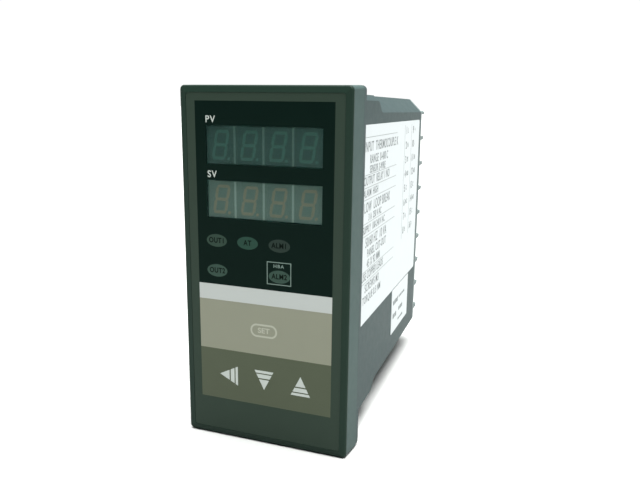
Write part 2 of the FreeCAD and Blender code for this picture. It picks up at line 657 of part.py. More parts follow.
# ---- build --------------------------------------------------------------------------------------
def build_case_parts():
    """The case, its labels and its terminals."""
    shapes["case"] = make_case()
    shapes["side_label"] = side_sheet(SIDE_LABEL)
    shapes["serial_label"] = side_sheet(SERIAL_LABEL)
    shapes["terminal_block"] = make_terminal_block()
    for name, side in (("left", -1), ("right", 1)):
        shapes["terminal_plates_" + name] = group([terminal_plate(side, z) for z in terminal_heights()])
        shapes["terminal_screws_" + name] = group([terminal_screw(side, z) for z in terminal_heights()])


def build_front_parts():
    """The front frame, its film, and the display board with all that it carries."""
    shapes["front_frame"] = make_front_frame()
    shapes["front_film"] = film_plate(0, FILM_RECESS - FILM_THICKNESS)
    for name, z in (("pv", PV_HEIGHT), ("sv", SV_HEIGHT)):
        for index in range(DIGIT_COUNT):
            shapes["%s_digit_%d" % (name, index + 1)] = make_digit(index, z)
    shapes["lamp_lenses"] = group([make_lens(x, z) for x, z in lamp_positions()])
    shapes["lamp_leds"] = group([make_led(x, z) for x, z in lamp_positions()])
    for name, x, z in key_positions():
        shapes[name + "_switch"] = make_switch(x, z)
        shapes[name + "_plunger"] = make_plunger(x, z)
    shapes["display_board"] = make_display_board()
    shapes["display_board_screws"] = group(
        [placed(pan_screw(BOARD_SCREW), x, DISPLAY_BOARD_BACK, z) for x, z in boss_positions()]
    )


def build_board_parts():
    """The two main boards, the spacers between them and the pieces on their inner faces."""
    shapes["power_board"] = make_main_board(-1)
    shapes["control_board"] = make_main_board(1)
    shapes["power_link_header"] = make_link_header(-1)
    shapes["control_link_header"] = make_link_header(1)
    shapes["board_spacers"] = group([make_spacer(y, z) for y, z in spacer_positions()])
    shapes["spacer_screws"] = group([spacer_screw(s, y, z) for s in (-1, 1) for y, z in spacer_positions()])
    shapes["transformer_core"], shapes["transformer_winding"] = make_transformer()
    shapes["output_relay"] = make_relay(28.5)
    shapes["alarm_relay"] = make_relay(66.5)
    shapes["mains_capacitor"] = can_on_board(-1, 42.0, 70.0, 6.0, 16.0)
    shapes["reservoir_capacitors"] = group([can_on_board(1, y, 59.5, 3.15, 11.0) for y in (43.0, 51.0)])
    shapes["varistor"] = make_varistor()
    shapes["fuse"] = can_on_board(-1, 62.0, 74.0, 4.2, 8.0)
    shapes["processor"] = on_board(1, 25.0, 47.0, 14.0, 14.0, 1.6)
    shapes["amplifier_chips"] = group([on_board(1, 22.0, z, 4.0, 5.0, 1.5) for z in (24.5, 32.5, 64.5)])


def export():
    """Move every node so that the origin is the object's bottom centre, and write its STEP file."""
    os.makedirs("parts", exist_ok=True)
    for name, shape in shapes.items():
        moved = shape.copy()
        moved.translate(V(0, -TOTAL_DEPTH / 2, 0))
        moved.exportStep("parts/" + name + ".step")


build_case_parts()
build_front_parts()
build_board_parts()
export()
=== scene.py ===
import math
import random

import bpy
from mathutils import Matrix, Vector


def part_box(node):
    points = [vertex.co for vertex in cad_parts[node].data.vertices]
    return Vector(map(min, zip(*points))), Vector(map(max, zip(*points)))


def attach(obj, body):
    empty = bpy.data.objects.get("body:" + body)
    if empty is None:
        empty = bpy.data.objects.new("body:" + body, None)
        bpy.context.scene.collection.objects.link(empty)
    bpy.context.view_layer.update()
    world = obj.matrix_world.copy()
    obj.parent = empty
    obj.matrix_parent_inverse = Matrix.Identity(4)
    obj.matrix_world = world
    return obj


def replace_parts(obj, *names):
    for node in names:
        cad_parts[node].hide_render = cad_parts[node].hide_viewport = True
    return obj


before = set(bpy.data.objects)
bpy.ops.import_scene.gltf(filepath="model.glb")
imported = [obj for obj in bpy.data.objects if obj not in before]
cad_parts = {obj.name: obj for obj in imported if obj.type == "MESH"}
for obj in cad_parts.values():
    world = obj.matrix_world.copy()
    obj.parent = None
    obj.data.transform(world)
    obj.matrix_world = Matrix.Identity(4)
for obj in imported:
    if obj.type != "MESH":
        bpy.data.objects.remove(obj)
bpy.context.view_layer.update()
bpy.context.scene.view_settings.view_transform = "Standard"

# Sizes and places are millimetres on the controller: x from its middle, y back from the bezel's front
# face, z up from the bezel's bottom edge. at() turns them into the frame's metres.
MM = 0.001
FRONT_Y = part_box("front_frame")[0].y         # where that front face and bottom edge are in the frame,
BASE_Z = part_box("front_frame")[0].z          # in metres
INK = 0.02                   # how thick a printed mark is modelled
random.seed(7)


def at(x, y, z):
    """A point given in millimetres on the controller, in the frame's metres."""
    return Vector((x * MM, FRONT_Y + y * MM, BASE_Z + z * MM))


def node_span(node):
    """A CAD node's lowest and highest corner, in millimetres on the controller."""
    low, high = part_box(node)
    origin = at(0, 0, 0)
    return (low - origin) / MM, (high - origin) / MM


# ---- print on the front film --------------------------------------------------------------------
FIELD_HALF = 18.95           # the printed field's half width
BLACK_TOP = 91.9
WHITE_TOP = 43.95
BEIGE_TOP = 39.65
OLIVE_TOP = 25.7
OLIVE_BOTTOM = 11.25
WINDOW_WIDTH = 31.9
WINDOW_HEIGHT = 9.9
PV_HEIGHT = 80.9
SV_HEIGHT = 66.9
LAMP_WIDTH = 5.95
LAMP_HEIGHT = 3.4
LAMPS = (                    # each lamp's name, the word on it, and its middle's x and z
    ("out1", "OUT1", -13.4, 55.9),
    ("at", "AT", -4.45, 55.9),
    ("alm1", "ALM1", 4.5, 55.9),
    ("out2", "OUT2", -13.4, 47.75),
    ("alm2", "ALM2", 4.5, 47.75),
)
DISPLAY_WORDS = (("PV", -14.6, 87.25), ("SV", -14.35, 73.3))
DISPLAY_WORD_HEIGHT = 1.7
LAMP_WORD_HEIGHT = 1.35
HBA_X = 4.4                  # the thin frame round the last lamp, and the word in it
HBA_Z = 48.6
HBA_WIDTH = 6.8
HBA_HEIGHT = 6.1
HBA_LINE = 0.225
HBA_WORD = (4.3, 50.5)
HBA_WORD_HEIGHT = 0.85
SET_Z = 32.5                 # the capsule with the word SET in it
SET_WIDTH = 7.7
SET_HEIGHT = 3.7
SET_RADIUS = 1.8
SET_LINE = 0.5
SET_WORD_HEIGHT = 1.4
ARROW_X = 10.5
ARROW_Z = 18.5
ARROW_LENGTH = 5.4
ARROW_HALF_BASE = 2.75
ARROW_SLICES = ((0.0, 0.13), (0.19, 0.40), (0.47, 1.0))      # each slice, in shares of the length

# ---- figures behind the film --------------------------------------------------------------------
DIGIT_PITCH = 8.0
DIGIT_SHIFT = 0.05           # the figures stand a little right of their modules' middles
SEGMENT_HEIGHT = 7.6
SEGMENT_WIDTH = 4.1
SEGMENT_THICKNESS = 0.8
SEGMENT_GAP = 0.14
SEGMENT_SLANT = 0.18
POINT_SIZE = 0.85
POINT_ACROSS = 0.75          # from the figure's right edge to the point's middle
POINT_DROP = 0.05
# Pale strips on the seams between digit modules are painted highlight: the modules' edges catching light.
SEAM_HIGHLIGHT_WIDTH = 0.6
SEAM_HIGHLIGHT_MARGIN = 0.25

# ---- film, rear face and terminals --------------------------------------------------------------
film_low, film_high = node_span("front_film")
FILM_FRONT = film_low.y
FILM_BACK = film_high.y
FILM_HALF = film_high.x
FILM_RADIUS = 0.8
PLATE_THICKNESS = 0.8        # of the terminal plates, which lie on the terminal block's rear face
REAR_Y = node_span("terminal_plates_left")[1].y - PLATE_THICKNESS
TERMINAL_X = 17.2
TERMINAL_FIRST = 18.58
TERMINAL_PITCH = 9.36
TERMINAL_ROWS = 8
TERMINALS = [TERMINAL_FIRST + TERMINAL_PITCH * n for n in range(TERMINAL_ROWS)]

# A facing gives three directions: along a surface, up it, and out of it.
FRONT = (Vector((1, 0, 0)), Vector((0, 0, 1)), Vector((0, -1, 0)))
REAR = (Vector((-1, 0, 0)), Vector((0, 0, 1)), Vector((0, 1, 0)))
RIGHT = (Vector((0, 1, 0)), Vector((0, 0, 1)), Vector((1, 0, 0)))
LEFT = (Vector((0, -1, 0)), Vector((0, 0, 1)), Vector((-1, 0, 0)))
LEAN = 0.006                 # how much the case's side leans in for each millimetre of depth
LABEL_SIDE = (Vector((-LEAN, 1, 0)), Vector((0, 0, 1)), Vector((1, LEAN, 0)))


# ---- materials ----------------------------------------------------------------------------------
FRONT_SHADE_START = 0.6             # the depths between which the painted shade on the bezel's front edge fades into the base colour
FRONT_SHADE_END = 1.2
ROUGHNESS_SPREAD = 0.06


def painted_front_shade(tree, place, base, colour):
    """Paint shade on the bezel's foremost millimetre: a darker colour there that fades into the base colour
    behind it.
    """
    parts = tree.nodes.new("ShaderNodeSeparateXYZ")
    tree.links.new(place.outputs["Object"], parts.inputs["Vector"])
    depth = tree.nodes.new("ShaderNodeMapRange")
    depth.inputs["From Min"].default_value = FRONT_Y + FRONT_SHADE_START * MM
    depth.inputs["From Max"].default_value = FRONT_Y + FRONT_SHADE_END * MM
    tree.links.new(parts.outputs["Y"], depth.inputs["Value"])
    edge = tree.nodes.new("ShaderNodeMix")
    edge.data_type = "RGBA"
    edge.inputs["A"].default_value = colour + (1,)
    tree.links.new(depth.outputs["Result"], edge.inputs["Factor"])
    tree.links.new(base, edge.inputs["B"])
    return edge.outputs["Result"]


def material(name, colour, roughness=0.5, mottle=0.06, mottle_mm=6.0, grain_mm=0.35, bump=0.02,
             metallic=0.0, alpha=1.0, specular=0.25, streak=(1, 1, 1), front=None):
    """A procedural surface: a base colour that varies softly, varied roughness, and a fine moulded grain.

    front is a darker colour painted on the bezel's foremost millimetre as painted shade."""
    made = bpy.data.materials.new(name)
    made.use_nodes = True
    tree = made.node_tree
    shader = tree.nodes["Principled BSDF"]
    shader.inputs["Metallic"].default_value = metallic
    shader.inputs["Alpha"].default_value = alpha
    shader.inputs["Specular IOR Level"].default_value = specular
    place = tree.nodes.new("ShaderNodeTexCoord")
    stretch = tree.nodes.new("ShaderNodeMapping")
    stretch.inputs["Scale"].default_value = streak
    tree.links.new(place.outputs["Object"], stretch.inputs["Vector"])

    def noise(size_mm, detail):
        found = tree.nodes.new("ShaderNodeTexNoise")
        found.inputs["Scale"].default_value = 1 / (size_mm * MM)
        found.inputs["Detail"].default_value = detail
        tree.links.new(stretch.outputs["Vector"], found.inputs["Vector"])
        return found.outputs["Fac"]

    blend = tree.nodes.new("ShaderNodeMix")
    blend.data_type = "RGBA"
    blend.inputs["A"].default_value = [c * (1 - mottle) for c in colour] + [1]
    blend.inputs["B"].default_value = [min(c * (1 + mottle), 1) for c in colour] + [1]
    tree.links.new(noise(mottle_mm, 3), blend.inputs["Factor"])
    base = blend.outputs["Result"]
    if front:
        base = painted_front_shade(tree, place, base, front)
    tree.links.new(base, shader.inputs["Base Color"])

    spread = tree.nodes.new("ShaderNodeMapRange")
    spread.inputs["To Min"].default_value = roughness - ROUGHNESS_SPREAD
    spread.inputs["To Max"].default_value = roughness + ROUGHNESS_SPREAD
    tree.links.new(noise(mottle_mm / 3, 2), spread.inputs["Value"])
    tree.links.new(spread.outputs["Result"], shader.inputs["Roughness"])

    relief = tree.nodes.new("ShaderNodeBump")
    relief.inputs["Strength"].default_value = 1
    relief.inputs["Distance"].default_value = bump * MM
    tree.links.new(noise(grain_mm, 2), relief.inputs["Height"])
    tree.links.new(relief.outputs["Normal"], shader.inputs["Normal"])
    return made


case_grey = material("case_grey", (0.027, 0.048, 0.048), 0.5, specular=0.09, bump=0.012, grain_mm=0.5)
# The bezel's front gets a darker colour than its sides, though it is one plastic: painted shade.
frame_grey = material("frame_grey", (0.042, 0.072, 0.067), 0.5, specular=0.10, bump=0.010, grain_mm=0.4,
                      front=(0.011, 0.026, 0.018))
film_olive_grey = material("film_olive_grey", (0.025, 0.041, 0.030), 0.4, mottle=0.03, bump=0.004,
                           specular=0.08)
print_black = material("print_black", (0.0020, 0.0085, 0.0062), 0.35, mottle=0.1, bump=0.0, specular=0.03)
print_white = material("print_white", (0.40, 0.427, 0.412), 0.45, mottle=0.012, bump=0.004, specular=0.1)
print_beige = material("print_beige", (0.214, 0.223, 0.170), 0.45, mottle=0.02, bump=0.004, specular=0.1)
print_olive = material("print_olive", (0.069, 0.083, 0.053), 0.45, mottle=0.03, bump=0.004, specular=0.1)
ink_light = material("ink_light", (0.42, 0.46, 0.43), 0.4, mottle=0.04)
ink_grey = material("ink_grey", (0.13, 0.19, 0.165), 0.4, mottle=0.04)
ink_dark = material("ink_dark", (0.002, 0.006, 0.004), 0.4, mottle=0.04, specular=0.03)
ink_set = material("ink_set", (0.33, 0.345, 0.28), 0.4, mottle=0.03)
ink_label = material("ink_label", (0.11, 0.13, 0.13), 0.5, mottle=0.25, mottle_mm=0.8)
ink_rule = material("ink_rule", (0.20, 0.23, 0.23), 0.5, mottle=0.1, mottle_mm=2)
window_tint = material("window_tint", (0.015, 0.045, 0.038), 0.2, alpha=0.22, mottle=0.02, bump=0.0,
                       specular=0.05)
lamp_grey = material("lamp_grey", (0.026, 0.050, 0.037), 0.4, mottle=0.10, mottle_mm=1.5, specular=0.06)
lamp_green = material("lamp_green", (0.018, 0.050, 0.036), 0.4, mottle=0.10, mottle_mm=1.5, specular=0.06)
lamp_warm = material("lamp_warm", (0.018, 0.031, 0.025), 0.4, mottle=0.10, mottle_mm=1.5, specular=0.06)
lamp_pale = material("lamp_pale", (0.032, 0.062, 0.048), 0.4, mottle=0.10, mottle_mm=1.5, specular=0.06)
digit_green = material("digit_green", (0.028, 0.068, 0.058), 0.4, mottle=0.08, mottle_mm=2)
digit_grey = material("digit_grey", (0.125, 0.195, 0.165), 0.4, mottle=0.08, mottle_mm=2)
segment_green = material("segment_green", (0.042, 0.118, 0.095), 0.35, mottle=0.1, mottle_mm=1)
segment_orange = material("segment_orange", (0.220, 0.230, 0.160), 0.35, mottle=0.1, mottle_mm=1)
# Painted highlight along the seams between digit modules, where their edges catch light.
seam_highlight_green = material("seam_highlight_green", (0.085, 0.150, 0.130), 0.4, mottle=0.1, mottle_mm=1)
seam_highlight_grey = material("seam_highlight_grey", (0.260, 0.370, 0.320), 0.4, mottle=0.1, mottle_mm=1)
terminal_grey = material("terminal_grey", (0.115, 0.148, 0.145), 0.5, specular=0.15, bump=0.012)
plated = material("plated", (0.72, 0.66, 0.50), 0.3, metallic=1.0, mottle=0.08, bump=0.003, mottle_mm=2)
zinc = material("zinc", (0.60, 0.60, 0.58), 0.32, metallic=1.0, mottle=0.06, bump=0.004, mottle_mm=1.5)
label_white = material("label_white", (0.51, 0.545, 0.555), 0.5, mottle=0.02, bump=0.003, grain_mm=0.2)
board_green = material("board_green", (0.022, 0.115, 0.055), 0.35, mottle=0.10, mottle_mm=3, bump=0.006)
track_green = material("track_green", (0.040, 0.17, 0.085), 0.32, mottle=0.06, mottle_mm=2)
silk_white = material("silk_white", (0.72, 0.73, 0.70), 0.5, mottle=0.05)
nylon = material("nylon", (0.66, 0.65, 0.58), 0.45, mottle=0.03)
chip_black = material("chip_black", (0.018, 0.018, 0.019), 0.45, bump=0.010, grain_mm=0.15)
core_grey = material("core_grey", (0.060, 0.062, 0.066), 0.45, bump=0.02, grain_mm=0.3, streak=(12, 0.2, 0.2))
tape_yellow = material("tape_yellow", (0.62, 0.45, 0.06), 0.35, mottle=0.06, bump=0.004)
relay_blue = material("relay_blue", (0.020, 0.075, 0.24), 0.35, mottle=0.04)
sleeve_black = material("sleeve_black", (0.018, 0.022, 0.035), 0.28, mottle=0.05)
varistor_blue = material("varistor_blue", (0.02, 0.07, 0.22), 0.25, mottle=0.1, mottle_mm=1.5, bump=0.02)
led_clear = material("led_clear", (0.66, 0.66, 0.60), 0.2, mottle=0.05)
switch_black = material("switch_black", (0.02, 0.02, 0.02), 0.4)
plunger_cream = material("plunger_cream", (0.46, 0.43, 0.36), 0.4)
gold = material("gold", (0.83, 0.62, 0.24), 0.25, metallic=1.0, mottle=0.05, bump=0.002)
solder = material("solder", (0.66, 0.66, 0.64), 0.24, metallic=1.0, mottle=0.08, bump=0.003)
can_metal = material("can_metal", (0.58, 0.59, 0.60), 0.35, metallic=1.0, mottle=0.05, bump=0.004)
ceramic_tan = material("ceramic_tan", (0.42, 0.30, 0.17), 0.45, mottle=0.08, mottle_mm=1)
floor_pale = material("floor_pale", (0.46, 0.47, 0.46), 0.6, mottle=0.01, mottle_mm=90, bump=0.01, grain_mm=2)

NODE_LOOKS = {
    "case": case_grey,
    "terminal_block": terminal_grey,
    "terminal_plates_left": plated,
    "terminal_plates_right": plated,
    "side_label": label_white,
    "serial_label": label_white,
    "front_frame": frame_grey,
    "lamp_lenses": lamp_grey,
    "lamp_leds": led_clear,
    "display_board": board_green,
    "power_board": board_green,
    "control_board": board_green,
    "power_link_header": chip_black,
    "control_link_header": chip_black,
    "board_spacers": nylon,
    "transformer_core": core_grey,
    "transformer_winding": tape_yellow,
    "output_relay": relay_blue,
    "alarm_relay": relay_blue,
    "mains_capacitor": sleeve_black,
    "reservoir_capacitors": sleeve_black,
    "varistor": varistor_blue,
    "fuse": chip_black,
    "processor": chip_black,
    "amplifier_chips": chip_black,
}
for key in ("set", "shift", "down", "up"):
    NODE_LOOKS[key + "_switch"] = switch_black
    NODE_LOOKS[key + "_plunger"] = plunger_cream
DIGITS = range(1, 5)
for number in DIGITS:
    NODE_LOOKS["pv_digit_%d" % number] = digit_green
    NODE_LOOKS["sv_digit_%d" % number] = digit_grey


def dress_nodes():
    """Give every CAD node that stays in view its material."""
    for name, look in NODE_LOOKS.items():
        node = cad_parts[name]
        node.data.materials.clear()
        node.data.materials.append(look)


# ---- outlines and mesh helpers ------------------------------------------------------------------
ROUND_STEPS = 28
CAPITAL_SHARE = 0.7          # a capital's height in Blender's font, as a share of the font's size


def rectangle(u, v, width, height):
    """The four corners of a rectangle, anticlockwise."""
    left, right = u - width / 2, u + width / 2
    bottom, top = v - height / 2, v + height / 2
    return [(left, bottom), (right, bottom), (right, top), (left, top)]


def rounded(u, v, width, height, radius, steps=8):
    """A rectangle with rounded corners."""
    points = []
    for turn, (su, sv) in enumerate(((1, -1), (1, 1), (-1, 1), (-1, -1))):
        cu = u + su * (width / 2 - radius)
        cv = v + sv * (height / 2 - radius)
        start = -math.pi / 2 + turn * math.pi / 2
        for step in range(steps + 1):
            angle = start + step / steps * math.pi / 2
            points.append((cu + radius * math.cos(angle), cv + radius * math.sin(angle)))
    return points


def ellipse(u, v, width, height, steps=48):
    """An ellipse as a ring of points."""
    angles = [2 * math.pi * n / steps for n in range(steps)]
    return [(u + width / 2 * math.cos(a), v + height / 2 * math.sin(a)) for a in angles]


def cross(reach, arm):
    """A plus sign with arms of the given width."""
    half = arm / 2
    return [
        (half, half), (half, reach), (-half, reach), (-half, half), (-reach, half), (-reach, -half),
        (-half, -half), (-half, -reach), (half, -reach), (half, -half), (reach, -half), (reach, half),
    ]


def standing(place, facing):
    """The matrix that stands a flat drawing up on a surface: its origin, and the way it faces."""
    turn = Matrix([v.normalized() for v in facing]).transposed().to_4x4()
    return Matrix.Translation(at(*place)) @ turn


def from_curve(curve, place, facing):
    """A filled curve as a mesh that stands out from a surface."""
    holder = bpy.data.objects.new("holder", curve)
    bpy.context.scene.collection.objects.link(holder)
    mesh = bpy.data.meshes.new_from_object(holder.evaluated_get(bpy.context.evaluated_depsgraph_get()))
    bpy.data.objects.remove(holder)
    mesh.transform(standing(place, facing) @ Matrix.Translation((0, 0, curve.extrude)))
    bpy.data.curves.remove(curve)
    return mesh


def plate_mesh(outlines, place, thickness, facing=FRONT):
    """A plate from an outer outline and the holes in it, standing out from a surface."""
    curve = bpy.data.curves.new("outline", "CURVE")
    curve.dimensions = "2D"
    curve.fill_mode = "BOTH"
    curve.extrude = thickness / 2 * MM
    for outline in outlines:
        spline = curve.splines.new("POLY")
        spline.points.add(len(outline) - 1)
        for point, (u, v) in zip(spline.points, outline):
            point.co = (u * MM, v * MM, 0, 1)
        spline.use_cyclic_u = True
    return from_curve(curve, place, facing)


def text_mesh(words, u, v, height, place, facing=FRONT, bold=0.0, width=1.0, spread=1.0, align="CENTER"):
    """Words centred on u and v, or starting at u, with capitals of the stated height, on a surface."""
    curve = bpy.data.curves.new("words", "FONT")
    curve.body = words
    curve.size = height / CAPITAL_SHARE * MM
    curve.offset = bold * MM
    curve.extrude = INK / 2 * MM
    curve.space_character = spread
    curve.align_x = align
    curve.align_y = "CENTER"
    mesh = from_curve(curve, place, facing)
    stand = standing(place, facing)
    shift = Matrix.Translation((u * MM, v * MM, 0)) @ Matrix.Diagonal((width, 1, 1, 1))
    mesh.transform(stand @ shift @ stand.inverted())
    return mesh


def bars_mesh(outlines, place, thickness, facing=FRONT):
    """Many small convex plates on one surface, as one mesh."""
    stand = standing(place, facing)
    vertices = []
    faces = []
    for outline in outlines:
        start, count = len(vertices), len(outline)
        for w in (0, thickness):
            vertices += [stand @ Vector((u * MM, v * MM, w * MM)) for u, v in outline]
        faces.append([start + count + n for n in range(count)])
        faces.append([start + n for n in reversed(range(count))])
        for n in range(count):
            after = (n + 1) % count
            faces.append([start + n, start + after, start + count + after, start + count + n])
    mesh = bpy.data.meshes.new("bars")
    mesh.from_pydata(vertices, [], faces)
    return mesh


def turned_mesh(profile, place, facing):
    """A round shape about the outward direction, from pairs of radius and height that end on the axis."""
    stand = standing(place, facing)
    vertices = []
    faces = []
    for radius, height in profile:
        ring = ellipse(0, 0, 2 * radius, 2 * radius, ROUND_STEPS)
        vertices += [stand @ Vector((u * MM, v * MM, height * MM)) for u, v in ring]
    for low in range(0, len(vertices) - ROUND_STEPS, ROUND_STEPS):
        high = low + ROUND_STEPS
        for n in range(ROUND_STEPS):
            after = (n + 1) % ROUND_STEPS
            faces.append([low + n, low + after, high + after, high + n])
    mesh = bpy.data.meshes.new("turned")
    mesh.from_pydata(vertices, [], faces)
    return mesh


def finished(name, meshes, look, body):
    """Put one or several meshes in the scene as one piece that rides on a body."""
    vertices = []
    faces = []
    for mesh in meshes:
        start = len(vertices)
        vertices += [v.co.copy() for v in mesh.vertices]
        faces += [[start + i for i in p.vertices] for p in mesh.polygons]
        bpy.data.meshes.remove(mesh)
    whole = bpy.data.meshes.new(name)
    whole.from_pydata(vertices, [], faces)
    whole.validate()
    whole.update()
    whole.materials.append(look)
    piece = bpy.data.objects.new(name, whole)
    bpy.context.scene.collection.objects.link(piece)
    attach(piece, body)
    return piece


# ---- front film ---------------------------------------------------------------------------------
def make_film():
    """The printed film, as one piece for each field of print, in place of the plain CAD sheet."""
    place = (0, FILM_BACK, 0)
    depth = FILM_BACK - FILM_FRONT
    middle = (film_low.z + film_high.z) / 2
    outline = rounded(0, middle, 2 * FILM_HALF, film_high.z - film_low.z, FILM_RADIUS)
    field = rectangle(0, (BLACK_TOP + OLIVE_BOTTOM) / 2, 2 * FIELD_HALF, BLACK_TOP - OLIVE_BOTTOM)
    border = finished("film_border", [plate_mesh([outline, field], place, depth)], film_olive_grey, "chassis")
    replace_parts(border, "front_film")
    windows = [rectangle(0, z, WINDOW_WIDTH, WINDOW_HEIGHT) for z in (PV_HEIGHT, SV_HEIGHT)]
    ovals = [ellipse(x, z, LAMP_WIDTH, LAMP_HEIGHT) for _, _, x, z in LAMPS]
    bands = (
        ("film_black", BLACK_TOP, WHITE_TOP, print_black, windows + ovals),
        ("film_white", WHITE_TOP, BEIGE_TOP, print_white, []),
        ("film_beige", BEIGE_TOP, OLIVE_TOP, print_beige, []),
        ("film_olive", OLIVE_TOP, OLIVE_BOTTOM, print_olive, []),
    )
    for name, top, bottom, look, holes in bands:
        band = rectangle(0, (top + bottom) / 2, 2 * FIELD_HALF, top - bottom)
        finished(name, [plate_mesh([band] + holes, place, depth)], look, "chassis")
    for name, outline in zip(("pv_window", "sv_window"), windows):
        finished(name, [plate_mesh([outline], place, depth)], window_tint, "chassis")
    looks = {"out1": lamp_grey, "at": lamp_green, "alm1": lamp_warm, "out2": lamp_pale, "alm2": lamp_pale}
    for (name, _, _, _), outline in zip(LAMPS, ovals):
        finished(name + "_lamp_window", [plate_mesh([outline], place, depth)], looks[name], "chassis")


def make_legends():
    """The words over the displays and on the lamps, the frame round one lamp, and the SET key's mark."""
    place = (0, FILM_FRONT, 0)
    words = [
        text_mesh(word, x, z, DISPLAY_WORD_HEIGHT, place, bold=0.03, width=0.95, spread=1.2)
        for word, x, z in DISPLAY_WORDS
    ]
    finished("display_legends", words, ink_light, "chassis")
    words = [
        text_mesh(word, x, z, LAMP_WORD_HEIGHT, place, bold=0.05, width=0.85, spread=1.12)
        for _, word, x, z in LAMPS
    ]
    finished("lamp_legends", words, ink_dark, "chassis")
    frame_line = [
        rectangle(HBA_X, HBA_Z, HBA_WIDTH - 2 * inset, HBA_HEIGHT - 2 * inset) for inset in (0, HBA_LINE)
    ]
    marks = [
        plate_mesh(frame_line, place, INK),
        text_mesh("HBA", *HBA_WORD, HBA_WORD_HEIGHT, place, bold=0.03, width=1.1, spread=1.25),
    ]
    finished("lamp_frame", marks, ink_grey, "chassis")
    capsule = [
        rounded(0, SET_Z, SET_WIDTH - 2 * inset, SET_HEIGHT - 2 * inset, SET_RADIUS - inset)
        for inset in (0, SET_LINE)
    ]
    marks = [
        plate_mesh(capsule, place, INK),
        text_mesh("SET", 0, SET_Z, SET_WORD_HEIGHT, place, bold=0.05, width=1.1),
    ]
    finished("set_key_mark", marks, ink_set, "chassis")


def arrow_slices():
    """A triangle pointing up, cut in three across: a thin bar at its base, a middle slice and its tip."""
    shapes = []
    for low, high in ARROW_SLICES:
        bottom, top = ARROW_HALF_BASE * (1 - low), ARROW_HALF_BASE * (1 - high)
        z0, z1 = ARROW_LENGTH * (low - 0.5), ARROW_LENGTH * (high - 0.5)
        corners = [(-bottom, z0), (bottom, z0), (top, z1), (-top, z1)]
        shapes.append(corners[:3] if top == 0 else corners)
    return shapes


def make_arrows():
    """The three arrow marks, all one shape turned three ways."""
    for name, x, angle in (("shift", -ARROW_X, 90), ("down", 0, 180), ("up", ARROW_X, 0)):
        turn = Matrix.Rotation(math.radians(angle), 2)
        outlines = [[turn @ Vector(point) for point in shape] for shape in arrow_slices()]
        placed = [[(x + p.x, ARROW_Z + p.y) for p in outline] for outline in outlines]
        finished(name + "_key_mark", [bars_mesh(placed, (0, FILM_FRONT, 0), INK)], ink_light, "chassis")


# ---- digits -------------------------------------------------------------------------------------
def segment_outlines(x, z):
    """Seven six-sided segments and a point, leaning to the right."""
    half = SEGMENT_THICKNESS / 2
    edge = SEGMENT_WIDTH / 2 - half
    top = SEGMENT_HEIGHT / 2 - half

    def across(cz):
        tip = edge + half - 1.5 * SEGMENT_GAP
        shoulder = edge - 2 * SEGMENT_GAP
        return [
            (-tip, cz), (-shoulder, cz - half), (shoulder, cz - half),
            (tip, cz), (shoulder, cz + half), (-shoulder, cz + half),
        ]

    def upright(cx, z0, z1):
        low, high = z0 + SEGMENT_GAP, z1 - SEGMENT_GAP
        return [
            (cx, low), (cx + half, low + half), (cx + half, high - half),
            (cx, high), (cx - half, high - half), (cx - half, low + half),
        ]

    shapes = [across(top), across(0), across(-top)]
    for cx in (-edge, edge):
        shapes += [upright(cx, 0, top), upright(cx, -top, 0)]
    point_x = SEGMENT_WIDTH / 2 + POINT_ACROSS
    shapes.append(ellipse(point_x, -top - POINT_DROP, POINT_SIZE, POINT_SIZE, 20))
    return [[(x + pu + SEGMENT_SLANT * pv, z + pv) for pu, pv in shape] for shape in shapes]


def make_segments():
    """Unlit segments on the face of each digit module, and pale strips on the seams between the modules: a
    painted highlight of the modules' edges.
    """
    rows = (("pv", PV_HEIGHT, segment_green, seam_highlight_green), ("sv", SV_HEIGHT, segment_orange, seam_highlight_grey))
    for row, z, look, highlight_look in rows:
        face = (0, node_span(row + "_digit_1")[0].y, 0)
        for number in DIGITS:
            x = (number - 2.5) * DIGIT_PITCH + DIGIT_SHIFT
            name = "%s_segments_%d" % (row, number)
            finished(name, [bars_mesh(segment_outlines(x, z), face, INK)], look, "chassis")
        # pale strips on the seams: painted highlight of the modules' edges
        height = WINDOW_HEIGHT - 2 * SEAM_HIGHLIGHT_MARGIN
        seams = [rectangle(n * DIGIT_PITCH, z, SEAM_HIGHLIGHT_WIDTH, height) for n in (-1, 0, 1)]
        finished(row + "_seam_highlights", [bars_mesh(seams, face, INK)], highlight_look, "chassis")


# ---- labels -------------------------------------------------------------------------------------
LABEL_LINES = (              # a line's words, its height on the side, where it starts, its capitals' height
    ("INPUT  THERMOCOUPLE K", 80.4, 14.6, 2.6),
    ("RANGE  0-400 C", 77.0, 20.0, 2.3),
    ("SENSOR 2-WIRE", 74.3, 20.0, 2.0),
    ("OUTPUT  RELAY 1 NO", 71.4, 14.6, 2.3),
    ("ALARM  HIGH", 68.1, 14.6, 2.0),
    ("LOW  LOOP BREAK", 64.2, 15.5, 2.7),
    ("3 A  250 V AC", 61.3, 20.0, 1.9),
    ("SUPPLY  100-240 V AC", 58.2, 14.6, 2.0),
    ("50/60 HZ  10 VA", 54.4, 17.5, 2.7),
    ("PANEL CUT-OUT", 51.2, 19.5, 2.3),
    ("45 X 92 MM", 48.2, 19.5, 2.3),
    ("USE COPPER LEADS", 45.0, 14.6, 2.2),
    ("SCREWS M3", 41.4, 18.0, 2.4),
    ("TORQUE 0.5 NM", 38.2, 16.0, 2.2),
)
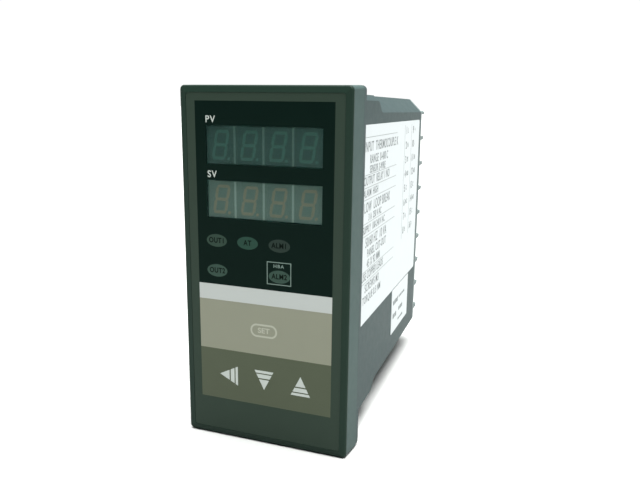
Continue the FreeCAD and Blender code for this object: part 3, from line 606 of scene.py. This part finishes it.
# What terminals 1 to 16 are for.
TERMINAL_USES = ("L", "N", "PE", "NO", "C", "NC", "A", "B", "+", "-", "SH", "NO", "C", "NO", "C", "F")
RULE_WIDTH = 0.16
RULE_LENGTH = 38.0
RULE_HEIGHTS = (83.0, 73.1, 69.7, 66.5, 60.0, 56.6, 46.6, 43.3)
RULE_MIDDLE = 33.0           # the middle of those level rules, in depth
UPRIGHT_DEPTHS = (63.5, 74.0)
UPRIGHT_MIDDLE = 66.0        # the middle of those upright rules, in height
TABLE_TOP = 83.0             # the terminals' table: its first row, and the distance between rows
TABLE_PITCH = 4.8
TABLE_COLUMNS = ((66.0, 68.0), (77.0, 79.5))       # where a number's middle is, and where its use starts
NUMBER_HEIGHT = 2.4
USE_HEIGHT = 1.6
SERIAL_LINES = (             # on the small label: a line's start, height, length and letters' height
    (2.0, 26.4, 7.0, 1.9),
    (10.5, 26.6, 9.0, 1.0),
    (2.0, 21.7, 5.0, 1.9),
    (10.5, 22.2, 6.0, 1.5),
    (10.0, 18.6, 8.0, 0.9),
)
WORD_LENGTHS = (0.8, 2.4)    # the shortest and longest bar that stands for a word
WORD_GAPS = (0.3, 0.6)
WORD_HEIGHTS = (0.75, 1.0)   # as shares of the line's height
WORD_REST = 0.5              # a line's end that is too short for another word


def word_bars(u, v, width, height):
    """A line of unreadable print: short bars of different lengths with gaps between them."""
    bars = []
    end = u + width
    while u < end - WORD_REST:
        length = min(random.uniform(*WORD_LENGTHS), end - u)
        bars.append(rectangle(u + length / 2, v, length, height * random.uniform(*WORD_HEIGHTS)))
        u += length + random.uniform(*WORD_GAPS)
    return bars


def make_side_label():
    """The side label's ruled table, its lines of print and its list of terminals."""
    low, high = node_span("side_label")
    place = (high.x + LEAN * low.y, 0, 0)
    rules = [rectangle(RULE_MIDDLE, v, RULE_LENGTH, RULE_WIDTH) for v in RULE_HEIGHTS]
    rules += [rectangle(u, UPRIGHT_MIDDLE, RULE_WIDTH, RULE_LENGTH) for u in UPRIGHT_DEPTHS]
    finished("label_rules", [bars_mesh(rules, place, INK, LABEL_SIDE)], ink_rule, "case")
    words = []
    for line, v, u, height in LABEL_LINES:
        words.append(text_mesh(line, u, v, height, place, LABEL_SIDE,
                               bold=0.03, width=0.78, spread=1.12, align="LEFT"))
    for column, (number_u, use_u) in enumerate(TABLE_COLUMNS):
        for row in range(TERMINAL_ROWS):
            v = TABLE_TOP - TABLE_PITCH * row
            terminal = TERMINAL_ROWS * column + row
            words.append(text_mesh(str(terminal + 1), number_u, v, NUMBER_HEIGHT, place, LABEL_SIDE,
                                   bold=0.05))
            words.append(text_mesh(TERMINAL_USES[terminal], use_u, v, USE_HEIGHT, place, LABEL_SIDE,
                                   bold=0.03, width=0.8, spread=1.1, align="LEFT"))
    finished("label_print", words, ink_label, "case")


def make_serial_label():
    """The print on the small label, measured from that label's own front edge."""
    low, high = node_span("serial_label")
    bars = []
    for u, v, width, height in SERIAL_LINES:
        bars += word_bars(u, v, width, height)
    finished("serial_print", [bars_mesh(bars, (high.x, low.y, 0), INK, LABEL_SIDE)], ink_label, "case")


# ---- screws -------------------------------------------------------------------------------------
HEAD_SIDE = ((1.0, 0.0), (1.0, 0.55), (0.93, 0.85))         # a pan head, in shares of its radius and height
HEAD_FACE = 0.78
RECESS_FLOOR = 0.45
CROSS_REACH = 0.62
CROSS_ARM = 0.26
TERMINAL_HEAD = 2.75         # radii of the screws' heads and shanks
TERMINAL_SHANK = 1.4
BOARD_HEAD = 1.8
BOARD_SHANK = 0.95
SPACER_HEAD = 2.3
SPACER_SHANK = 1.2
SPACER_SCREW_LENGTH = 6.0
MOULDED_COLUMNS = ((8, 8.0), (16, -7.6))           # the lowest terminal's number, and the column's place
MOULDED_HEIGHT = 1.9


def screw_meshes(place, facing, head, height, shank, length):
    """A pan head screw with a cross recess, and its plain shank behind the head."""
    floor = height * RECESS_FLOOR
    face = head * HEAD_FACE
    side = [(head * across, height * up) for across, up in HEAD_SIDE]
    profile = [(0, -length), (shank, -length), (shank, 0)] + side
    profile += [(face, height), (face, floor), (0, floor)]
    body = turned_mesh(profile, place, facing)
    outlines = [
        ellipse(0, 0, 2 * face, 2 * face, ROUND_STEPS),
        cross(head * CROSS_REACH, head * CROSS_ARM),
    ]
    crown = plate_mesh(outlines, Vector(place) + facing[2] * floor, height - floor, facing)
    return [body, crown]


def make_terminal_screws():
    """A cross-recessed screw at each terminal, in place of the plain CAD ones."""
    for name, side in (("left", -1), ("right", 1)):
        node = "terminal_screws_" + name
        low, high = node_span(node)
        seat = node_span("terminal_plates_" + name)[1].y
        height, length = high.y - seat, seat - low.y
        meshes = []
        for z in TERMINALS:
            place = (side * TERMINAL_X, seat, z)
            meshes += screw_meshes(place, REAR, TERMINAL_HEAD, height, TERMINAL_SHANK, length)
        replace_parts(finished("terminal_screw_heads_" + name, meshes, zinc, "case"), node)


def make_display_board_screws():
    """Cross-recessed screws at the display board's corners."""
    low, high = node_span("display_board_screws")
    seat = node_span("display_board")[1].y
    height, length = high.y - seat, seat - low.y
    reach = high.x - BOARD_HEAD
    meshes = []
    for x in (-reach, reach):
        for z in (low.z + BOARD_HEAD, high.z - BOARD_HEAD):
            meshes += screw_meshes((x, seat, z), REAR, BOARD_HEAD, height, BOARD_SHANK, length)
    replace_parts(finished("display_board_screw_heads", meshes, zinc, "chassis"), "display_board_screws")


def make_spacer_screws():
    """Cross-recessed screws through the two main boards into the ends of their spacers."""
    low, high = node_span("spacer_screws")
    outer = node_span("control_board")[1].x
    height = high.x - outer
    depth = (low.y + high.y) / 2
    meshes = []
    for z in (low.z + SPACER_HEAD, high.z - SPACER_HEAD):
        for x, facing in ((outer, RIGHT), (-outer, LEFT)):
            place = (x, depth, z)
            meshes += screw_meshes(place, facing, SPACER_HEAD, height, SPACER_SHANK, SPACER_SCREW_LENGTH)
    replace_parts(finished("spacer_screw_heads", meshes, zinc, "chassis"), "spacer_screws")


def make_terminal_numbers():
    """Moulded numbers beside the terminals, lowest number at the top."""
    words = []
    for row, z in enumerate(TERMINALS):
        for bottom, u in MOULDED_COLUMNS:
            words.append(text_mesh(str(bottom - row), u, z, MOULDED_HEIGHT, (0, REAR_Y, 0), REAR, bold=0.06))
    finished("terminal_numbers", words, silk_white, "case")


# ---- boards -------------------------------------------------------------------------------------
TRACK_COUNT = 16
TRACK_WIDTH = 0.45
TRACK_MARGIN = 4             # from the board's upper or lower edge
TRACK_STARTS = (3, 20)       # from the board's front edge
TRACK_SHORTEST = 12
TRACK_END = 6                # from the board's rear edge
BRANCH_SHARES = (0.4, 0.9)   # a branch's length, in shares of the room between two tracks
TRACK_PROUD = 0.03
CONTACT_PROUD = 0.04
CONTACT_LENGTH = 4.6
CONTACT_WIDTH = 2.6
CONTACT_INSET = 2.6          # from the board's rear edge to a contact's middle
JOINT_SIZE = 1.5
JOINT_PROUD = 0.28


def track_outlines(low, high):
    """Thin straight runs along a board, each with a short branch."""
    runs = []
    room = high.z - low.z - 2 * TRACK_MARGIN
    for n in range(TRACK_COUNT):
        v = low.z + TRACK_MARGIN + room * (n + 0.5) / TRACK_COUNT
        start = random.uniform(low.y + TRACK_STARTS[0], low.y + TRACK_STARTS[1])
        end = random.uniform(start + TRACK_SHORTEST, high.y - TRACK_END)
        runs.append(rectangle((start + end) / 2, v, end - start, TRACK_WIDTH))
        rise = random.choice((-1, 1)) * random.uniform(*BRANCH_SHARES) * room / TRACK_COUNT
        runs.append(rectangle(random.choice((start, end)), v + rise / 2, TRACK_WIDTH, abs(rise)))
    return runs


def mirrored(outlines):
    """Outlines turned over left to right, still anticlockwise."""
    return [[(-u, v) for u, v in reversed(outline)] for outline in outlines]


def on_board(outlines, x, proud, facing):
    """Outlines in depth and height, as plates on a face of an upright board that faces left or right."""
    return bars_mesh(mirrored(outlines) if facing is LEFT else outlines, (x, 0, 0), proud, facing)


def make_board_details():
    """Tracks, joints and edge contacts on both sides of the two main boards."""
    for name, outward, inward in (("power", LEFT, RIGHT), ("control", RIGHT, LEFT)):
        low, high = node_span(name + "_board")
        tracks = track_outlines(low, high)
        joints = []
        for outline in tracks[::2]:
            middle = (outline[0][1] + outline[2][1]) / 2
            for u in (outline[0][0], outline[2][0]):
                joints.append(ellipse(u, middle, JOINT_SIZE, JOINT_SIZE, 10))
        contacts = [rectangle(high.y - CONTACT_INSET, z, CONTACT_LENGTH, CONTACT_WIDTH) for z in TERMINALS]
        for side, facing in (("outer", outward), ("inner", inward)):
            x = low.x if facing is LEFT else high.x
            start = "%s_board_%s" % (name, side)
            plates = on_board(tracks, x, TRACK_PROUD, facing)
            finished(start + "_tracks", [plates], track_green, "chassis")
            plates = on_board(contacts, x, CONTACT_PROUD, facing)
            finished(start + "_contacts", [plates], gold, "chassis")
        x = low.x if outward is LEFT else high.x
        finished(name + "_board_joints", [on_board(joints, x, JOINT_PROUD, outward)], solder, "chassis")


# ---- chips and small parts ----------------------------------------------------------------------
PROCESSOR_FEET = 14          # on each of its four sides
PROCESSOR_PITCH = 0.8
PROCESSOR_FOOT = (1.3, 0.36, 0.45)                 # length, width, and middle's distance from the body
AMPLIFIER_HEIGHTS = (24.5, 32.5, 64.5)
AMPLIFIER_FEET = 4
AMPLIFIER_PITCH = 1.27
AMPLIFIER_FOOT = (1.2, 0.42, 0.4)
FOOT_PROUD = 0.35
RESISTOR_COLUMNS = (         # the depth of a column of chip resistors, and their heights
    (36.5, (20, 24, 28, 32, 36, 40, 44, 48)),
    (56.5, (42, 46, 50, 54)),
    (28.0, (20.5, 24.5, 28.5, 32.5, 60.0, 64.0, 68.0, 72.0)),
)
RESISTOR_LENGTH = 1.5
RESISTOR_WIDTH = 1.6
RESISTOR_PROUD = 0.6
RESISTOR_END = 0.5
RESISTOR_END_PROUD = 0.65
PARTS_FACE = node_span("control_board")[0].x       # the control board's inner face


def make_chip_pins():
    """Tinned feet round the processor and along the amplifier chips."""
    feet = []
    low, high = node_span("processor")
    length, width, off = PROCESSOR_FOOT
    for n in range(PROCESSOR_FEET):
        along = PROCESSOR_PITCH * (n - (PROCESSOR_FEET - 1) / 2)
        for edge, way in ((low, -1), (high, 1)):
            feet.append(rectangle(edge.y + way * off, (low.z + high.z) / 2 + along, length, width))
            feet.append(rectangle((low.y + high.y) / 2 + along, edge.z + way * off, width, length))
    low, high = node_span("amplifier_chips")
    length, width, off = AMPLIFIER_FOOT
    for z in AMPLIFIER_HEIGHTS:
        for n in range(AMPLIFIER_FEET):
            along = AMPLIFIER_PITCH * (n - (AMPLIFIER_FEET - 1) / 2)
            for edge, way in ((low, -1), (high, 1)):
                feet.append(rectangle(edge.y + way * off, z + along, length, width))
    finished("chip_feet", [on_board(feet, PARTS_FACE, FOOT_PROUD, LEFT)], solder, "chassis")


def make_small_parts():
    """Chip resistors with tinned ends, in free places on the control board's inner face."""
    bodies = []
    ends = []
    for y, heights in RESISTOR_COLUMNS:
        for z in heights:
            bodies.append(rectangle(y, z, RESISTOR_LENGTH, RESISTOR_WIDTH))
            for way in (-1, 1):
                end = y + way * (RESISTOR_LENGTH + RESISTOR_END) / 2
                ends.append(rectangle(end, z, RESISTOR_END, RESISTOR_WIDTH))
    plates = on_board(bodies, PARTS_FACE, RESISTOR_PROUD, LEFT)
    finished("chip_resistors", [plates], ceramic_tan, "chassis")
    plates = on_board(ends, PARTS_FACE, RESISTOR_END_PROUD, LEFT)
    finished("chip_resistor_ends", [plates], solder, "chassis")


# ---- print on the components --------------------------------------------------------------------
# A relay's lines: how far above its middle, their length, and their letters' height.
RELAY_LINES = ((4.0, 9.0, 1.4), (0.5, 11.0, 0.9), (-2.0, 8.0, 0.9), (-4.5, 10.0, 0.9))
PROCESSOR_LINES = ((48.0, 8.0), (46.0, 6.0))       # height on the controller, and length
TRANSFORMER_LINES = ((44.0, 10.0), (41.5, 10.0))
LETTER_HEIGHT = 1.0          # on the processor and the transformer
PRINT_INSET = 2.0            # from a relay's or the transformer's front edge to its print
PROCESSOR_INSET = 3.0
PROCESSOR_DOT = 1.2
PROCESSOR_DOT_INSET = 1.6
CAN_TOP_SHARE = 0.85         # how far the bare metal reaches, in shares of a can's radius
CAN_CROSS_REACH = 0.62
CAN_CROSS_ARM = 0.09
FUSE_RING = (7.0, 6.4)       # outer and inner diameter


def make_component_print():
    """Print on the relays and the processor, and the dot at the processor's first foot."""
    marks = []
    for node in ("output_relay", "alarm_relay"):
        low, high = node_span(node)
        middle = (low.z + high.z) / 2
        for up, width, height in RELAY_LINES:
            bars = word_bars(low.y + PRINT_INSET, middle + up, width, height)
            marks.append(on_board(bars, low.x, INK, LEFT))
    low, high = node_span("processor")
    dot_y, dot_z = low.y + PROCESSOR_DOT_INSET, high.z - PROCESSOR_DOT_INSET
    outlines = [ellipse(dot_y, dot_z, PROCESSOR_DOT, PROCESSOR_DOT, 16)]
    for z, width in PROCESSOR_LINES:
        outlines += word_bars(low.y + PROCESSOR_INSET, z, width, LETTER_HEIGHT)
    marks.append(on_board(outlines, low.x, INK, LEFT))
    finished("component_print", marks, silk_white, "chassis")


def make_transformer_print():
    """Two lines of print on the transformer's winding."""
    low, high = node_span("transformer_winding")
    bars = []
    for z, width in TRANSFORMER_LINES:
        bars += word_bars(low.y + PRINT_INSET, z, width, LETTER_HEIGHT)
    finished("transformer_print", [on_board(bars, high.x, INK, RIGHT)], chip_black, "chassis")


def make_can_tops():
    """The bare metal tops of the round capacitors, with the cross that is pressed into them."""
    meshes = []
    for node, facing in (("mains_capacitor", RIGHT), ("reservoir_capacitors", LEFT)):
        low, high = node_span(node)
        radius = (high.z - low.z) / 2
        if facing is RIGHT:
            top, depths = high.x, [(low.y + high.y) / 2]
        else:
            top, depths = low.x, [low.y + radius, high.y - radius]
        size = 2 * CAN_TOP_SHARE * radius
        outlines = [ellipse(0, 0, size, size, 32), cross(radius * CAN_CROSS_REACH, radius * CAN_CROSS_ARM)]
        for y in depths:
            meshes.append(plate_mesh(outlines, (top, y, (low.z + high.z) / 2), INK * 2, facing))
    finished("capacitor_tops", meshes, can_metal, "chassis")


def make_fuse_mark():
    """A ring printed on the fuse's top."""
    low, high = node_span("fuse")
    middle = (high.x, (low.y + high.y) / 2, (low.z + high.z) / 2)
    outlines = [ellipse(0, 0, size, size, 32) for size in FUSE_RING]
    finished("fuse_mark", [plate_mesh(outlines, middle, INK, RIGHT)], silk_white, "chassis")


# ---- stage --------------------------------------------------------------------------------------
CAMERA_PLACE = (67.504, -145.402, 91.391)
CAMERA_YAW = math.radians(-19.675)
CAMERA_PITCH = math.radians(-12.038)
CAMERA_ROLL = math.radians(0.72)
CAMERA_LENS = 35.88
CAMERA_NEAREST = 0.01
LAMP_ENERGY = 11.5
LAMP_SPREAD = math.radians(45)
LAMP_TURN = (math.radians(1), math.radians(5), 0)
DIM_TO_BRIGHT = (0.0, 1.0, -0.25)                  # the direction in which the surroundings get brighter
DIM_END = -0.9
BRIGHT_END = 0.6
DIMMEST = 0.0
BRIGHTEST = 1.03
FLOOR_REACH = 12.0           # metres


def make_camera():
    """A camera to the right of the front, a little below its top, looking slightly down."""
    forward = Vector((
        math.sin(CAMERA_YAW) * math.cos(CAMERA_PITCH),
        math.cos(CAMERA_YAW) * math.cos(CAMERA_PITCH),
        math.sin(CAMERA_PITCH),
    ))
    level = Vector((math.cos(CAMERA_YAW), -math.sin(CAMERA_YAW), 0))
    upward = level.cross(forward)
    right = level * math.cos(CAMERA_ROLL) + upward * math.sin(CAMERA_ROLL)
    top = right.cross(forward)
    pose = Matrix((right, top, -forward)).transposed().to_4x4()
    lens = bpy.data.cameras.new("camera")
    lens.lens = CAMERA_LENS
    lens.clip_start = CAMERA_NEAREST
    camera = bpy.data.objects.new("camera", lens)
    camera.matrix_world = Matrix.Translation(at(*CAMERA_PLACE)) @ pose
    bpy.context.scene.collection.objects.link(camera)
    bpy.context.scene.camera = camera


def make_sky_light():
    """A broad, soft lamp almost straight above that lights the floor evenly as far as it can be seen."""
    lamp = bpy.data.lights.new("sky_light", "SUN")
    lamp.energy = LAMP_ENERGY
    lamp.angle = LAMP_SPREAD
    holder = bpy.data.objects.new("sky_light", lamp)
    holder.rotation_euler = LAMP_TURN
    bpy.context.scene.collection.objects.link(holder)


def make_surroundings():
    """White surroundings that light the front less than the side, and that look plain white themselves."""
    world = bpy.data.worlds.new("surroundings")
    world.use_nodes = True
    tree = world.node_tree
    place = tree.nodes.new("ShaderNodeTexCoord")
    along = tree.nodes.new("ShaderNodeVectorMath")
    along.operation = "DOT_PRODUCT"
    along.inputs[1].default_value = DIM_TO_BRIGHT
    ramp = tree.nodes.new("ShaderNodeMapRange")
    ramp.interpolation_type = "SMOOTHSTEP"
    ramp.inputs["From Min"].default_value = DIM_END
    ramp.inputs["From Max"].default_value = BRIGHT_END
    ramp.inputs["To Min"].default_value = DIMMEST
    ramp.inputs["To Max"].default_value = BRIGHTEST
    tree.links.new(place.outputs["Generated"], along.inputs[0])
    tree.links.new(along.outputs["Value"], ramp.inputs["Value"])
    path = tree.nodes.new("ShaderNodeLightPath")
    seen = tree.nodes.new("ShaderNodeMath")
    seen.operation = "MAXIMUM"
    tree.links.new(path.outputs["Is Camera Ray"], seen.inputs[0])
    tree.links.new(ramp.outputs["Result"], seen.inputs[1])
    background = tree.nodes["Background"]
    background.inputs["Color"].default_value = (1, 1, 1, 1)
    tree.links.new(seen.outputs["Value"], background.inputs["Strength"])
    bpy.context.scene.world = world


def make_floor():
    """A pale floor that reaches further than the camera sees."""
    mesh = bpy.data.meshes.new("floor")
    corners = [(x, y, 0) for x, y in rectangle(0, 0, 2 * FLOOR_REACH, 2 * FLOOR_REACH)]
    mesh.from_pydata(corners, [], [(0, 1, 2, 3)])
    mesh.materials.append(floor_pale)
    floor = bpy.data.objects.new("floor", mesh)
    bpy.context.scene.collection.objects.link(floor)


dress_nodes()
make_film()
make_legends()
make_arrows()
make_segments()
make_side_label()
make_serial_label()
make_terminal_screws()
make_display_board_screws()
make_spacer_screws()
make_terminal_numbers()
make_board_details()
make_chip_pins()
make_small_parts()
make_component_print()
make_transformer_print()
make_can_tops()
make_fuse_mark()
make_floor()
make_surroundings()
make_sky_light()
make_camera()
